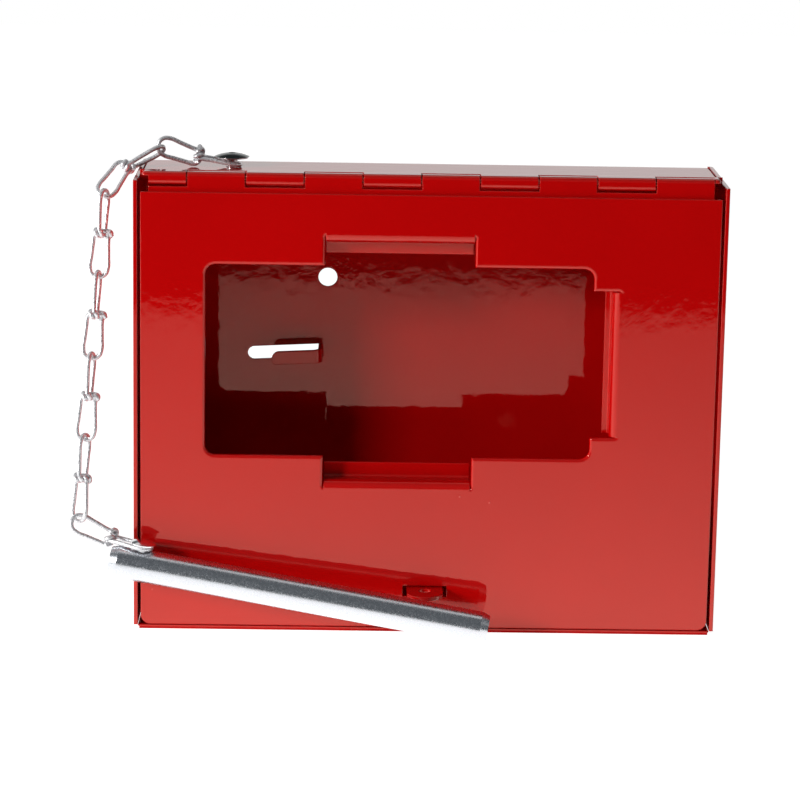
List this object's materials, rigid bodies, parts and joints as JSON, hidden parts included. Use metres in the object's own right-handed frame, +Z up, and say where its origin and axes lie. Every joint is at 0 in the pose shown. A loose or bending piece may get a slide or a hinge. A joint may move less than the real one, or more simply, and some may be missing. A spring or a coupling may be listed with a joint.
{
  "type": "break glass key box",
  "caption": "Shallow wall box with a top-hinged door, a glazed window over a key hook, a seal staple, and a striker bar on a link chain.",
  "frame": {"origin": "middle of the case's base, where it would stand on a shelf", "axes": "+X to the right of someone facing the door, +Y back into the wall, +Z up"},
  "size_m": [0.166, 0.0582, 0.1248],
  "materials": {
    "red_paint": "glossy powder coat",
    "clear_glass": "clear float glass",
    "zinc_steel": "bright zinc plate with a fine spangle",
    "bright_wire": "bright nickel-plated wire",
    "dark_rivet": "dark satin coat, worn to metal at its rim",
    "bright_rivet": "bright rivet"
  },
  "bodies": {
    "case": {"case_shell": "red_paint", "seal_staple": "red_paint", "hinge_pin": "zinc_steel", "chain_rivet": "dark_rivet", "rivet_mandrel": "zinc_steel"},
    "door": {"door_panel": "red_paint", "hinge_leaf": "red_paint", "glass_pane": "clear_glass"},
    "link_01": {"chain_link_01": "bright_wire"},
    "link_02": {"chain_link_02": "bright_wire"},
    "link_03": {"chain_link_03": "bright_wire"},
    "link_04": {"chain_link_04": "bright_wire"},
    "link_05": {"chain_link_05": "bright_wire"},
    "link_06": {"chain_link_06": "bright_wire"},
    "link_07": {"chain_link_07": "bright_wire"},
    "link_08": {"chain_link_08": "bright_wire"},
    "link_09": {"chain_link_09": "bright_wire"},
    "link_10": {"chain_link_10": "bright_wire"},
    "link_11": {"chain_link_11": "bright_wire"},
    "link_12": {"chain_link_12": "bright_wire"},
    "link_13": {"chain_link_13": "bright_wire"},
    "link_14": {"chain_link_14": "bright_wire"},
    "striker": {"striker_bar": "zinc_steel", "bar_rivet": "bright_rivet"}
  },
  "joints": [
    {"name": "door_hinge", "type": "hinge", "parent": "case", "child": "door", "pos_m": [0, -0.01735, 0.11725], "axis": [-1, 0, 0], "range_deg": [0, 95]},
    {"name": "chain_swivel", "type": "hinge", "parent": "case", "child": "link_01", "pos_m": [-0.0513, 0.0077, 0.1176], "axis": [0, 0, -1], "range_deg": [0, 4]},
    {"name": "link_02_swing", "type": "hinge", "parent": "link_01", "child": "link_02", "pos_m": [-0.06069, 0.0071, 0.11928], "axis": [-0.2609, 0.9643, 0.0453], "range_deg": [0, 30]},
    {"name": "link_03_swing", "type": "hinge", "parent": "link_02", "child": "link_03", "pos_m": [-0.06814, 0.00496, 0.12199], "axis": [-0.2609, 0.9643, 0.0453], "range_deg": [0, 25]},
    {"name": "link_04_swing", "type": "hinge", "parent": "link_03", "child": "link_04", "pos_m": [-0.07866, 0.00101, 0.11674], "axis": [-0.1144, 0.7335, -0.67], "range_deg": [0, 25]},
    {"name": "link_05_swing", "type": "hinge", "parent": "link_04", "child": "link_05", "pos_m": [-0.08293, -0.00536, 0.11032], "axis": [-1, 0, 0], "range_deg": [0, 98]},
    {"name": "link_06_swing", "type": "hinge", "parent": "link_05", "child": "link_06", "pos_m": [-0.08398, -0.00802, 0.10051], "axis": [0.125, 0.9692, -0.2123], "range_deg": [0, 30]},
    {"name": "link_07_swing", "type": "hinge", "parent": "link_06", "child": "link_07", "pos_m": [-0.08468, -0.01017, 0.09031], "axis": [-0.9849, 0.1699, 0.0316], "range_deg": [0, 30]},
    {"name": "link_08_swing", "type": "hinge", "parent": "link_07", "child": "link_08", "pos_m": [-0.08537, -0.01231, 0.0801], "axis": [0.073, 0.975, -0.21], "range_deg": [0, 30]},
    {"name": "link_09_swing", "type": "hinge", "parent": "link_08", "child": "link_09", "pos_m": [-0.08607, -0.01446, 0.0699], "axis": [-0.9714, 0.2368, 0.0166], "range_deg": [0, 30]},
    {"name": "link_10_swing", "type": "hinge", "parent": "link_09", "child": "link_10", "pos_m": [-0.08677, -0.0166, 0.0597], "axis": [0.1937, 0.9573, -0.2146], "range_deg": [0, 30]},
    {"name": "link_11_swing", "type": "hinge", "parent": "link_10", "child": "link_11", "pos_m": [-0.08747, -0.01875, 0.04949], "axis": [-0.9101, 0.4136, -0.0247], "range_deg": [0, 30]},
    {"name": "link_12_swing", "type": "hinge", "parent": "link_11", "child": "link_12", "pos_m": [-0.08801, -0.02044, 0.04146], "axis": [-0.9101, 0.4136, -0.0247], "range_deg": [0, 25]},
    {"name": "link_13_swing", "type": "hinge", "parent": "link_12", "child": "link_13", "pos_m": [-0.08815, -0.02411, 0.02974], "axis": [-0.2976, 0.8708, -0.3912], "range_deg": [0, 30]},
    {"name": "link_14_swing", "type": "hinge", "parent": "link_13", "child": "link_14", "pos_m": [-0.0799, -0.02336, 0.02443], "axis": [-0.1489, 0.0135, -0.9888], "range_deg": [0, 30]},
    {"name": "striker_swivel", "type": "hinge", "parent": "link_14", "child": "striker", "pos_m": [-0.0722, -0.02615, 0.02343], "axis": [-0.1489, 0.0135, -0.9888], "range_deg": [0, 20]}
  ],
  "couplings": [
    {"joint": "link_05_swing", "follows": "door_hinge", "ratio": 1.03}
  ]
}
